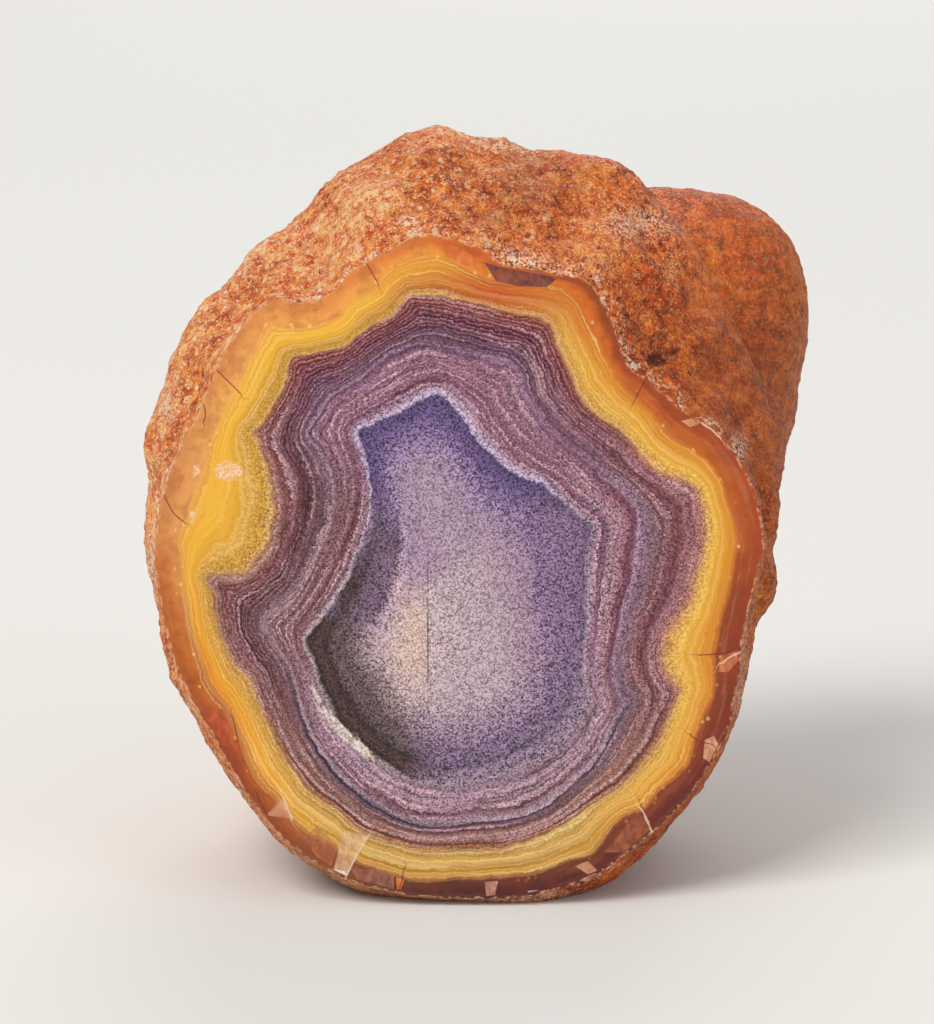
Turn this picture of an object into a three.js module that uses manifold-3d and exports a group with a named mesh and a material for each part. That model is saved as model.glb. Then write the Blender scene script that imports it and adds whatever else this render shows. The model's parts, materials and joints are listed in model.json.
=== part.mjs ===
// Half of an agate nodule: one stone with a sawn and polished face, a lumpy iron-stained rind,
// a knob behind its upper right shoulder, and a small ground flat that it stands on.
// Millimetres, +Z up. The polished face looks along -Y and leans back a little.
// The origin is the middle of the stone's box, at the level it stands on.
import * as THREE from "three";
import { ImprovedNoise } from "three/addons/math/ImprovedNoise.js";
import { mergeVertices } from "three/addons/utils/BufferGeometryUtils.js";
import Module from "manifold-3d";

const { smoothstep, lerp, clamp, degToRad } = THREE.MathUtils;

// Driving dimensions. A point is given as across, up and deep, from the middle of the polished face.
const FACE_LEAN = degToRad(12); // the polished face leans back from upright
const FACE_HEIGHT = 38.65; // the middle of the face stands this high over the ground flat
const STONE_DEPTH = 42; // from the polished face to the back of the stone
const SIGHT = 384; // the belly outline is given as seen square on from this far in front of the face
const HUB = new THREE.Vector3(-1.2, -3.3, 17); // a point well inside, which every ray starts from
const BELLY_DEEP = { middle: 9.5, swing: 5.5 }; // the widest section lies deeper at the top than at the foot
const RIM_SWELL = 0.85; // how quickly the rind swells behind the rim: 1 is a sine, less is quicker
const BACK_FULLNESS = { middle: 2.7, swing: -0.6 }; // 2 is an ellipse, more is fuller: the foot is fullest
const KNOB = {
  top: new THREE.Vector3(22.4, 20.6, 31),
  topRadius: 14.4,
  foot: new THREE.Vector3(19.6, 3, 29),
  footRadius: 13.6,
  squareness: 2.5, // 2 is round
  squash: 0.84, // its depth as a share of its width
  relief: { front: 0.3, back: 0.9, from: 29, to: 39 }, // its bumps as a share of the nodule's, by depth
};
const KNOB_BLEND = 2.5; // size of the fillet where the knob grows out of the nodule

// Relief of the rind
const SWELL = { wavelength: 16, height: 1.8 }; // broad smooth swells
const NODULES = [
  { wavelength: 9, height: 3.4 },
  { wavelength: 5.2, height: 1.8 },
]; // rounded bumps that meet in sharp valleys
const SINK = 0.25; // the bumps are cut into the plain skin by this share of their height
const SETBACK = 0.9; // away from the belly the rind lies this much deeper, so the belly stays the widest
const FADE = { rim: 3.5, belly: 8, least: 0.3 }; // relief dies out at the rim, and shrinks to the least at the belly
const PITS = [
  { at: new THREE.Vector3(18.9, 15.6, 1.6), radius: 2.6, deep: 1.3 },
  { at: new THREE.Vector3(21.4, 14.9, 3.4), radius: 1.9, deep: 1.0 },
  { at: new THREE.Vector3(16.3, 19.6, 2.4), radius: 1.7, deep: 0.7 },
  { at: new THREE.Vector3(5.6, 34.2, 10.5), radius: 3.4, deep: 1.0 },
  { at: new THREE.Vector3(-14.4, 27.7, 5.5), radius: 2.8, deep: 0.9 },
  { at: new THREE.Vector3(-20, -8, 32), radius: 4.2, deep: 1.6 },
  { at: new THREE.Vector3(8, 20, 39), radius: 4.8, deep: 1.6 },
  { at: new THREE.Vector3(10, -14, 39), radius: 3.6, deep: 1.3 },
];

// Mesh
const ROWS = 38; // rows of corners from the rim to the back
const AROUND = 160; // corners in the first row
const HALVED_FROM = [18, 29]; // the number of corners in a row is halved at these rows
const OUTLINE_SAMPLES = 2400;

// The polished face's rim, clockwise from its top, across and up.
const RIM_OUTLINE = [
  [-3.7, 27.6], [-1.2, 27.2], [0.8, 26.6], [2.1, 26.0], [3.0, 24.9], [5.3, 24.4],
  [7.8, 24.2], [9.0, 23.6], [10.8, 23.6], [12.3, 23.0], [13.3, 21.9], [13.8, 20.2],
  [14.7, 18.7], [15.2, 16.7], [15.9, 15.0], [17.1, 13.7], [18.1, 13.2], [19.3, 12.2],
  [21.8, 10.0], [23.3, 9.2], [24.8, 8.4], [26.8, 5.7], [28.5, 2.7], [29.1, 0.8],
  [29.8, -3.2], [29.0, -6.3], [28.4, -8.8], [27.6, -12.5], [27.1, -16.8], [26.4, -20.8],
  [25.7, -22.8], [24.3, -25.3], [22.3, -28.1], [18.8, -31.8], [15.1, -34.8], [11.8, -36.8],
  [6.3, -38.3], [3.3, -38.6], [-0.7, -38.6], [-6.7, -38.1], [-12.2, -36.6], [-16.2, -34.3],
  [-19.2, -31.8], [-21.7, -28.6], [-25.2, -22.6], [-28.2, -17.6], [-29.7, -13.3], [-30.7, -8.8],
  [-31.2, -3.8], [-30.6, 0.7], [-29.5, 4.7], [-27.9, 7.9], [-26.3, 11.2], [-25.1, 14.4],
  [-23.5, 17.2], [-21.2, 20.0], [-18.6, 21.5], [-17.4, 21.0], [-14.9, 21.2], [-12.9, 22.6],
  [-11.7, 24.0], [-10.4, 24.5], [-9.6, 25.5], [-7.4, 26.4], [-5.9, 27.4],
];

// The nodule's widest outline, clockwise from its top, without the knob.
const BELLY_OUTLINE = [
  [-2.9, 38.6], [-1.7, 38.4], [-0.2, 37.5], [1.3, 36.7], [2.8, 37.0], [4.1, 37.2],
  [5.8, 36.6], [7.3, 36.2], [9.8, 36.5], [13.3, 35.6], [16.3, 34.4], [17.8, 33.4],
  [18.6, 32.2], [21.3, 29.0], [23.8, 25.4], [26.1, 21.2], [28.0, 16.7], [29.5, 12.7],
  [30.8, 9.7], [31.5, 6.7], [31.2, 2.2], [30.5, -2.8], [30.6, -5.6], [30.3, -7.8],
  [29.3, -10.3], [28.1, -13.3], [27.7, -15.5], [27.4, -17.8], [26.8, -20.8], [25.8, -23.6],
  [23.3, -28.3], [21.3, -30.6], [17.6, -34.0], [14.5, -36.3], [12.3, -37.6], [9.8, -38.5],
  [7.0, -39.2], [2.3, -39.4], [-2.7, -39.3], [-6.7, -38.9], [-10.7, -38.0], [-15.2, -36.0],
  [-19.7, -32.1], [-23.7, -26.6], [-27.2, -20.8], [-29.7, -16.3], [-31.2, -10.3], [-32.3, -4.8],
  [-32.5, -1.8], [-32.0, 1.2], [-31.7, 6.7], [-30.7, 11.7], [-29.1, 16.7], [-27.7, 19.0],
  [-25.9, 21.2], [-23.9, 22.7], [-21.0, 26.5], [-18.7, 28.2], [-17.2, 29.3], [-16.0, 31.0],
  [-14.2, 32.9], [-12.5, 34.5], [-9.4, 36.2], [-7.2, 37.7], [-4.6, 38.4],
];

// Turns a closed outline into a function that gives its distance from the hub at any angle round the hub.
function outlineRadius(points) {
  const curve = new THREE.CatmullRomCurve3(
    points.map(([across, up]) => new THREE.Vector3(across - HUB.x, up - HUB.y, 0)),
    true,
    "centripetal",
  );
  const samples = curve
    .getPoints(OUTLINE_SAMPLES)
    .map((p) => ({ angle: Math.atan2(p.y, p.x), radius: Math.hypot(p.x, p.y) }))
    .sort((a, b) => a.angle - b.angle);
  const first = samples[0];
  const last = samples[samples.length - 1];
  samples.unshift({ angle: last.angle - 2 * Math.PI, radius: last.radius });
  samples.push({ angle: first.angle + 2 * Math.PI, radius: first.radius });
  return (angle) => {
    const wanted = Math.atan2(Math.sin(angle), Math.cos(angle));
    let low = 0;
    let high = samples.length - 1;
    while (high - low > 1) {
      const half = (low + high) >> 1;
      if (samples[half].angle <= wanted) low = half;
      else high = half;
    }
    const span = samples[high].angle - samples[low].angle;
    const share = span > 0 ? (wanted - samples[low].angle) / span : 0;
    return lerp(samples[low].radius, samples[high].radius, share);
  };
}

const rimRadius = outlineRadius(RIM_OUTLINE);
const seenBellyRadius = outlineRadius(BELLY_OUTLINE);

function bellyDepth(angle) {
  return BELLY_DEEP.middle + BELLY_DEEP.swing * Math.sin(angle);
}

// A deeper section looks smaller from the front. This gives its true distance from the hub.
function bellyRadius(angle) {
  const grown = 1 + bellyDepth(angle) / SIGHT;
  const seen = seenBellyRadius(angle);
  const across = (HUB.x + seen * Math.cos(angle)) * grown - HUB.x;
  const up = (HUB.y + seen * Math.sin(angle)) * grown - HUB.y;
  return Math.hypot(across, up);
}

// The same outline with its notches and corners averaged out, for the back of the stone.
function broadRadius(angle) {
  const turns = [-0.6, -0.4, -0.2, 0, 0.2, 0.4, 0.6];
  return turns.reduce((total, turn) => total + bellyRadius(angle + turn), 0) / turns.length;
}

// The nodule's measures along one angle round the hub.
function slice(angle) {
  return {
    rim: rimRadius(angle),
    belly: bellyRadius(angle),
    bellyDeep: bellyDepth(angle),
    broad: broadRadius(angle),
    fullness: BACK_FULLNESS.middle + BACK_FULLNESS.swing * Math.sin(angle),
  };
}

// Distance from the hub's axis to the nodule's plain skin, at a depth behind the face.
function noduleRadius({ rim, belly, bellyDeep, broad, fullness }, deep) {
  if (deep < bellyDeep) {
    const swell = Math.sin(((Math.PI / 2) * Math.max(deep, 0)) / bellyDeep);
    return rim + (belly - rim) * swell ** RIM_SWELL;
  }
  const share = Math.min((deep - bellyDeep) / (STONE_DEPTH - bellyDeep), 1);
  const radius = lerp(belly, broad, smoothstep(share, 0.05, 0.6));
  return radius * (1 - share ** fullness) ** (1 / fullness);
}

// Distance to the knob, below zero inside it: a squashed cone with a squarish round from its top to its foot.
function knobDistance(point) {
  const along = new THREE.Vector3().subVectors(KNOB.foot, KNOB.top);
  const from = new THREE.Vector3().subVectors(point, KNOB.top);
  const share = clamp(from.dot(along) / along.lengthSq(), 0, 1);
  from.addScaledVector(along, -share);
  from.z /= KNOB.squash;
  const total = [from.x, from.y, from.z].reduce((sum, side) => sum + Math.abs(side) ** KNOB.squareness, 0);
  return total ** (1 / KNOB.squareness) - lerp(KNOB.topRadius, KNOB.footRadius, share);
}

// Below zero inside the stone. The knob joins the nodule with a soft fillet.
function stoneField(cut, point) {
  const nodule = Math.hypot(point.x - HUB.x, point.y - HUB.y) - noduleRadius(cut, point.z);
  const knob = knobDistance(point);
  const mix = Math.max(KNOB_BLEND - Math.abs(nodule - knob), 0) / KNOB_BLEND;
  return Math.min(nodule, knob) - (mix * mix * KNOB_BLEND) / 4;
}

// The plain skin along a ray from the hub, found from outside and then halved in on.
function skinDistance(cut, direction) {
  const step = 0.5;
  const halvings = 20;
  const fieldAt = (distance) => stoneField(cut, HUB.clone().addScaledVector(direction, distance));
  let outside = 60;
  while (fieldAt(outside - step) > 0) outside -= step;
  let inside = outside - step;
  for (let i = 0; i < halvings; i++) {
    const half = (inside + outside) / 2;
    if (fieldAt(half) > 0) outside = half;
    else inside = half;
  }
  return inside;
}

const noise = new ImprovedNoise();

function noiseAt(point, wavelength) {
  return noise.noise(point.x / wavelength, point.y / wavelength, point.z / wavelength);
}

// How far the rind stands out from the plain skin. It is nothing at the rim itself.
function relief({ bellyDeep }, point) {
  const offRim = smoothstep(point.z, 0, FADE.rim);
  const offBelly = smoothstep(Math.abs(point.z - bellyDeep), 0, FADE.belly);
  let bumps = SWELL.height * noiseAt(point, SWELL.wavelength);
  NODULES.forEach(({ wavelength, height }) => {
    bumps += height * (Math.abs(noiseAt(point, wavelength)) - SINK);
  });
  let pits = 0;
  PITS.forEach(({ at, radius, deep }) => {
    pits += deep * Math.exp(-((point.distanceTo(at) / radius) ** 2));
  });
  const onKnob = 1 - smoothstep(knobDistance(point), 0, KNOB_BLEND);
  const behind = smoothstep(point.z, KNOB.relief.from, KNOB.relief.to);
  const knobShare = lerp(KNOB.relief.front, KNOB.relief.back, behind);
  const strength = lerp(FADE.least, 1, offBelly) * lerp(1, knobShare, onKnob);
  return offRim * (bumps * strength - SETBACK * offBelly * (1 - onKnob) - pits);
}

// Row 0 lies on the rim of the polished face. The rays swing from there to straight back.
function skinPoint(angle, row) {
  const cut = slice(angle);
  const outward = new THREE.Vector3(Math.cos(angle), Math.sin(angle), 0);
  if (row === 0) return new THREE.Vector3(HUB.x, HUB.y, 0).addScaledVector(outward, cut.rim);
  const slope = lerp(Math.atan2(-HUB.z, cut.rim), Math.PI / 2, row / ROWS);
  const direction = outward.multiplyScalar(Math.cos(slope)).setZ(Math.sin(slope));
  const plain = HUB.clone().addScaledVector(direction, skinDistance(cut, direction));
  return plain.addScaledVector(direction, relief(cut, plain));
}

function skinRow(row) {
  const size = row === ROWS ? 1 : AROUND / 2 ** HALVED_FROM.filter((from) => row >= from).length;
  return Array.from({ length: size }, (_, i) => skinPoint((2 * Math.PI * i) / size - Math.PI, row));
}

// Joins a row of corners to the next one back, which has as many, half as many, or one.
function joinRows(near, far, faces) {
  const each = near.size / far.size;
  for (let i = 0; i < near.size; i++) {
    const here = near.first + i;
    const next = near.first + ((i + 1) % near.size);
    const behindHere = far.first + Math.floor(i / each);
    const behindNext = far.first + (Math.floor((i + 1) / each) % far.size);
    faces.push(here, behindHere, next);
    if (behindNext !== behindHere) faces.push(next, behindHere, behindNext);
  }
}

// From across, up and deep to the standing stone.
function stand(point) {
  return new THREE.Vector3(
    point.x,
    point.y * Math.sin(FACE_LEAN) + point.z * Math.cos(FACE_LEAN),
    FACE_HEIGHT + point.y * Math.cos(FACE_LEAN) - point.z * Math.sin(FACE_LEAN),
  );
}

function sawnNodule() {
  const rows = Array.from({ length: ROWS + 1 }, (_, row) => skinRow(row));
  const faces = THREE.ShapeUtils.triangulateShape(rows[0], []).flat();
  let first = 0;
  for (let row = 0; row < ROWS; row++) {
    const near = { first, size: rows[row].length };
    const far = { first: first + near.size, size: rows[row + 1].length };
    joinRows(near, far, faces);
    first = far.first;
  }
  return new THREE.BufferGeometry().setFromPoints(rows.flat().map(stand)).setIndex(faces);
}

const wasm = await Module();
wasm.setup();

function toSolid(geometry) {
  const bare = geometry.clone();
  bare.deleteAttribute("normal");
  bare.deleteAttribute("uv");
  const merged = mergeVertices(bare);
  const mesh = new wasm.Mesh({
    numProp: 3,
    vertProperties: merged.attributes.position.array,
    triVerts: new Uint32Array(merged.index.array),
  });
  return new wasm.Manifold(mesh);
}

function toGeometry(solid) {
  const mesh = solid.getMesh();
  return new THREE.BufferGeometry()
    .setAttribute("position", new THREE.BufferAttribute(mesh.vertProperties, 3))
    .setIndex(new THREE.BufferAttribute(mesh.triVerts, 1));
}

// Everything below the level that the stone stands on is ground away.
function groundFlat(solid) {
  const room = 200;
  const below = new THREE.BoxGeometry(room, room, room).translate(0, 0, -room / 2);
  return solid.subtract(toSolid(below));
}

const geometry = toGeometry(groundFlat(toSolid(sawnNodule())));
geometry.computeBoundingBox();
const middle = geometry.boundingBox.getCenter(new THREE.Vector3());
geometry.translate(-middle.x, -middle.y, 0);
geometry.computeVertexNormals();

const rind = new THREE.MeshStandardMaterial({ color: 0xb5622f, roughness: 0.85, metalness: 0 });
const agate = new THREE.Mesh(geometry, rind);
agate.name = "agate";

const stone = new THREE.Group();
stone.add(agate);

export default stone;
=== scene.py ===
# %% [markdown]
# # A sawn agate nodule
# The object is half of an agate nodule: a lumpy stone about 70 mm wide with a sugary, iron-stained rind,
# sawn once and polished, so that the cut shows its coloured bands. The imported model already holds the
# stone's real size and its main lumps. This lesson keeps that shape, gives the rind its small crystals,
# rebuilds the polished face as a fine flat mesh, and paints both with procedural materials.

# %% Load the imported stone
import json
import math

import bmesh
import bpy
import numpy as np
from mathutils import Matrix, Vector, geometry, noise


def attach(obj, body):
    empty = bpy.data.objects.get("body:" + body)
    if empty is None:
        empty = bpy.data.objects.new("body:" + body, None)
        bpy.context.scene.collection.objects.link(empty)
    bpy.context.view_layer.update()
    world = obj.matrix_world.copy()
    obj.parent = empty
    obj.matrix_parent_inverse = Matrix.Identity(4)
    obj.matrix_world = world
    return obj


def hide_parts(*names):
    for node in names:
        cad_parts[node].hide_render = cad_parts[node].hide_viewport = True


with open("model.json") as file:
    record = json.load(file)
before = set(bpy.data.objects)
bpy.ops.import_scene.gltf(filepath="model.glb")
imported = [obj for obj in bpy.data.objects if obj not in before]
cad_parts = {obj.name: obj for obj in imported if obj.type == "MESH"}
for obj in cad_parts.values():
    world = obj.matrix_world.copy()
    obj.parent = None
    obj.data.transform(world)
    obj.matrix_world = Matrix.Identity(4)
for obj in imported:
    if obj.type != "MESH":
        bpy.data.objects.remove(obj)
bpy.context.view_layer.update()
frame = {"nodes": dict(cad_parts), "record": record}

MM = 0.001
packed_stone = frame["nodes"]["agate"]

# %% [markdown]
# ## The face's own axes
# Every mark on the polished face is easiest to place on the face itself: so many millimetres to the
# right, so many up, and so deep behind the cut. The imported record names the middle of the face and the
# way it looks. The photograph was taken straight at the face, a tenth of a millimetre to each picture
# point, so a place seen in the photograph turns into millimetres on the face by one short sum.

# %% Face axes and the photograph's scale
polished_mount = next(m for m in frame["record"]["mounts"] if m["name"] == "polished_face")
FACE_MIDDLE = Vector(polished_mount["pos_m"])
FACE_OUT = Vector(polished_mount["axis"]).normalized()
FACE_RIGHT = Vector((1.0, 0.0, 0.0))
FACE_UP = FACE_OUT.cross(FACE_RIGHT).normalized()
if FACE_UP.z < 0:
    FACE_UP.negate()

PICTURE_MIDDLE = (467, 512)
POINTS_PER_MM = 10.0
VIEW_DISTANCE_MM = 384.0


def on_face(across, down):
    """Millimetres right and up on the face for a place in the photograph."""
    return ((across - PICTURE_MIDDLE[0]) / POINTS_PER_MM, (PICTURE_MIDDLE[1] - down) / POINTS_PER_MM)


def face_coordinates(point):
    """Millimetres right, up and deep behind the cut for a point in metres."""
    away = (point - FACE_MIDDLE) / MM
    return away.dot(FACE_RIGHT), away.dot(FACE_UP), -away.dot(FACE_OUT)


def in_space(right, up):
    """The point in metres for a place on the face."""
    return FACE_MIDDLE + (FACE_RIGHT * right + FACE_UP * up) * MM


print("face looks along", tuple(round(c, 3) for c in FACE_OUT))

# %% [markdown]
# ## Contours of the bands
# Agate grows inward in thin coats, so each band follows the one outside it. Five contours were drawn
# over the photograph, from the outside in: where the glassy rim turns to opaque yellow, where
# yellow meets maroon, the pale lavender line, the edge of the crystal core, and its pale heart.
# Everything between two contours is found by measuring how far a place lies from each.

# %% The five contours, in picture points
YELLOW_EDGE = [
    (400, 265), (430, 255), (455, 262), (480, 275), (500, 280), (530, 280), (560, 285), (580, 300), (590, 320),
    (605, 350), (615, 370), (630, 390), (640, 400), (655, 415), (670, 435), (695, 450), (710, 462), (722, 480),
    (728, 500), (735, 520), (738, 540), (735, 560), (730, 590), (722, 620), (718, 640), (715, 660), (715, 690),
    (705, 715), (697, 735), (690, 760), (680, 775), (660, 790), (645, 808), (620, 820), (600, 845), (590, 855),
    (565, 862), (540, 873), (500, 878), (450, 880), (420, 882), (400, 878), (370, 868), (350, 860), (330, 845),
    (310, 835), (290, 820), (275, 800), (255, 780), (240, 745), (225, 715), (205, 690), (195, 660), (185, 620),
    (180, 560), (178, 540), (188, 510), (200, 480), (205, 465), (208, 450), (215, 430), (228, 400), (240, 380),
    (250, 360), (262, 340), (272, 322), (280, 328), (300, 328), (320, 325), (340, 315), (350, 300), (370, 290),
    (385, 275),
]
MAROON_EDGE = [
    (413, 295), (440, 297), (470, 303), (505, 313), (530, 318), (548, 325), (553, 335), (558, 350), (568, 370),
    (575, 390), (588, 408), (600, 418), (618, 430), (630, 442), (648, 462), (665, 475), (685, 482), (697, 492),
    (703, 510), (705, 530), (702, 555), (696, 575), (690, 600), (680, 615), (668, 632), (662, 650), (664, 668),
    (672, 680), (678, 690), (674, 705), (665, 725), (655, 745), (640, 765), (620, 785), (600, 797), (580, 812),
    (560, 825), (530, 838), (500, 846), (470, 847), (440, 848), (410, 845), (385, 838), (360, 828), (345, 815),
    (325, 800), (305, 785), (295, 770), (285, 755), (275, 735), (265, 715), (255, 695), (250, 680), (235, 665),
    (227, 650), (220, 630), (215, 610), (212, 590), (205, 576), (215, 574), (230, 576), (245, 573), (255, 565),
    (265, 555), (272, 535), (275, 515), (274, 490), (268, 468), (262, 450), (257, 438), (253, 434), (262, 425),
    (270, 412), (280, 395), (288, 378), (290, 365), (295, 357), (310, 355), (325, 351), (345, 347), (360, 335),
    (375, 325), (390, 317), (400, 308), (407, 298),
]
LAVENDER_LINE = [
    (330, 396), (320, 412), (308, 433), (318, 448), (330, 470), (334, 495), (328, 520), (315, 550), (300, 582),
    (280, 605), (262, 620), (272, 640), (285, 660), (295, 685), (303, 715), (313, 740), (330, 765), (350, 787),
    (380, 808), (410, 822), (440, 825), (480, 820), (515, 817), (545, 805), (570, 785), (598, 757), (608, 735),
    (620, 712), (626, 702), (618, 690), (612, 665), (616, 640), (622, 610), (632, 580), (636, 550), (640, 525),
    (637, 508), (620, 490), (600, 475), (580, 455), (560, 440), (540, 420), (525, 395), (515, 366), (490, 358),
    (460, 350), (430, 343), (405, 347), (375, 365), (350, 385),
]
CORE_EDGE = [
    (358, 431), (380, 420), (400, 410), (420, 400), (440, 393), (450, 402), (462, 415), (472, 432), (485, 448),
    (500, 462), (520, 475), (545, 485), (560, 500), (578, 515), (592, 530), (588, 545), (586, 565), (586, 600),
    (585, 630), (583, 660), (585, 685), (590, 700), (582, 715), (570, 735), (555, 750), (535, 762), (510, 772),
    (480, 782), (450, 786), (420, 782), (395, 772), (375, 758), (355, 742), (340, 725), (325, 700), (318, 680),
    (312, 660), (304, 640), (315, 625), (330, 605), (345, 580), (358, 550), (368, 520), (371, 495), (368, 470),
    (362, 448),
]
HEART_EDGE = [
    (400, 470), (430, 455), (455, 475), (480, 510), (520, 540), (530, 580), (530, 630), (520, 680), (500, 700),
    (470, 715), (440, 715), (410, 700), (390, 670), (370, 645), (385, 615), (400, 580), (405, 540), (400, 500),
]
CONTOURS = [YELLOW_EDGE, MAROON_EDGE, LAVENDER_LINE, CORE_EDGE, HEART_EDGE]
CONTOUR_STEP = 0.5


def smooth_loop(points, step):
    """A closed Catmull-Rom curve through the points, cut into pieces about one step long."""
    curve = []
    count = len(points)
    for i in range(count):
        before, start, end, after = (np.array(points[(i + k) % count]) for k in (-1, 0, 1, 2))
        pieces = max(1, round(float(np.linalg.norm(end - start)) / step))
        for t in (k / pieces for k in range(pieces)):
            curve.append(0.5 * (2 * start + (end - before) * t
                                + (2 * before - 5 * start + 4 * end - after) * t * t
                                + (3 * start - before - 3 * end + after) * t ** 3))
    return np.array(curve)


contour_loops = [smooth_loop([on_face(*p) for p in contour], CONTOUR_STEP) for contour in CONTOURS]
print("contour points:", [len(loop) for loop in contour_loops])

# %% [markdown]
# ## The rind as a finer skin
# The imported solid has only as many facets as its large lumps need. A real rind carries a crust of
# quartz grains, each a fraction of a millimetre. So the skin is copied, its sawn face is set aside, and
# every facet is split in sixteen. Rounds of smoothing take away the facet edges, with the cut's rim and
# the flat the stone rests on held still, and a small noise then raises the crust.

# %% Copy the skin and split it
SAME_PLACE = 1e-6
ON_THE_CUT = 1e-5
SPLIT_ROUNDS = 2
SMOOTH_ROUNDS = 4
SMOOTH_SHARE = 0.5

skin = bmesh.new()
skin.from_mesh(packed_stone.data)
bmesh.ops.remove_doubles(skin, verts=skin.verts, dist=SAME_PLACE)


def is_on_cut(vertex):
    return abs(face_coordinates(vertex.co)[2]) * MM < ON_THE_CUT


sawn_facets = [f for f in skin.faces if all(is_on_cut(v) for v in f.verts)]
bmesh.ops.delete(skin, geom=sawn_facets, context="FACES")
for _ in range(SPLIT_ROUNDS):
    bmesh.ops.subdivide_edges(skin, edges=skin.edges[:], cuts=1, use_grid_fill=True)

rim_edges = [e for e in skin.edges if e.is_boundary]
rim_verts = {v for e in rim_edges for v in e.verts}
ground_verts = {v for v in skin.verts if v.co.z < ON_THE_CUT}
free_verts = [v for v in skin.verts if v not in rim_verts and v not in ground_verts]
for _ in range(SMOOTH_ROUNDS):
    bmesh.ops.smooth_vert(skin, verts=free_verts, factor=SMOOTH_SHARE,
                          use_axis_x=True, use_axis_y=True, use_axis_z=True)
print("skin facets:", len(skin.faces), "rim points:", len(rim_verts))

# %% [markdown]
# ## Walk round the rim
# The edge of the cut is one closed loop of points. It is put in order, evened out along its own length
# so that it runs smoothly, and then nibbled by a fraction of a millimetre, because a saw and a polishing
# wheel always pull a few grains from a stone's edge.

# %% Order, smooth and nibble the rim
RIM_SMOOTH_ROUNDS = 4
NIBBLE_MM = 0.16
NIBBLES = [(0.9, 1.0, 5.0), (2.3, 0.6, 9.0)]


def ordered_rim(edges):
    """The rim's points in order, walking from edge to edge."""
    neighbours = {}
    for edge in edges:
        first, second = edge.verts
        neighbours.setdefault(first, []).append(second)
        neighbours.setdefault(second, []).append(first)
    start = min(neighbours, key=lambda v: (round(v.co.z, 6), round(v.co.x, 6)))
    walk = [start, neighbours[start][0]]
    while True:
        onward = [v for v in neighbours[walk[-1]] if v is not walk[-2]][0]
        if onward is start:
            return walk
        walk.append(onward)


rim = ordered_rim(rim_edges)
for _ in range(RIM_SMOOTH_ROUNDS):
    middles = [(rim[i - 1].co + rim[(i + 1) % len(rim)].co) / 2 for i in range(len(rim))]
    for vertex, middle in zip(rim, middles):
        vertex.co = (vertex.co + middle) / 2

for vertex in rim:
    right, up, _ = face_coordinates(vertex.co)
    inward = Vector((-right, -up)).normalized()
    bite = NIBBLE_MM * sum(size * noise.noise(Vector((right, up, layer)) * per_mm) for per_mm, size, layer in NIBBLES)
    vertex.co = in_space(right + inward.x * bite, up + inward.y * bite)
print("rim length, mm:", round(sum((rim[i].co - rim[i - 1].co).length for i in range(len(rim))) / MM, 1))

# %% Raise the crust
CRUST = [(0.55, 0.18), (1.2, 0.17), (2.4, 0.14)]
CRUST_FADE_MM = 1.6
KNOB_SMOOTHNESS = 0.55
KNOB_PLACE = (29.0, 22.0)
KNOB_REACH = 14.0

skin.normal_update()
lifts = []
for vertex in skin.verts:
    right, up, deep = face_coordinates(vertex.co)
    place = vertex.co / MM
    height = sum(size * noise.noise(place * per_mm) for per_mm, size in CRUST)
    fade = min(1.0, max(0.0, deep / CRUST_FADE_MM)) * min(1.0, vertex.co.z / MM / CRUST_FADE_MM)
    knob_distance = math.hypot(right - KNOB_PLACE[0], up - KNOB_PLACE[1]) / KNOB_REACH
    if knob_distance < 1:
        fade *= 1 - KNOB_SMOOTHNESS * (1 - knob_distance)
    lifts.append(height * fade)
for vertex, lift in zip(skin.verts, lifts):
    vertex.co += vertex.normal * lift * MM
print("crust from", round(min(lifts), 2), "to", round(max(lifts), 2), "mm")

# %% [markdown]
# ## Chips, cracks and glints on the cut
# Along the rim the glassy agate is broken by small angled chips that catch the light, and fine cracks
# run in from the edge. The chips are drawn as little outlines, and the cracks as lines. The outlines
# become real edges in the face's mesh, so their colours can stop as sharply as they do in the stone.

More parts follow.
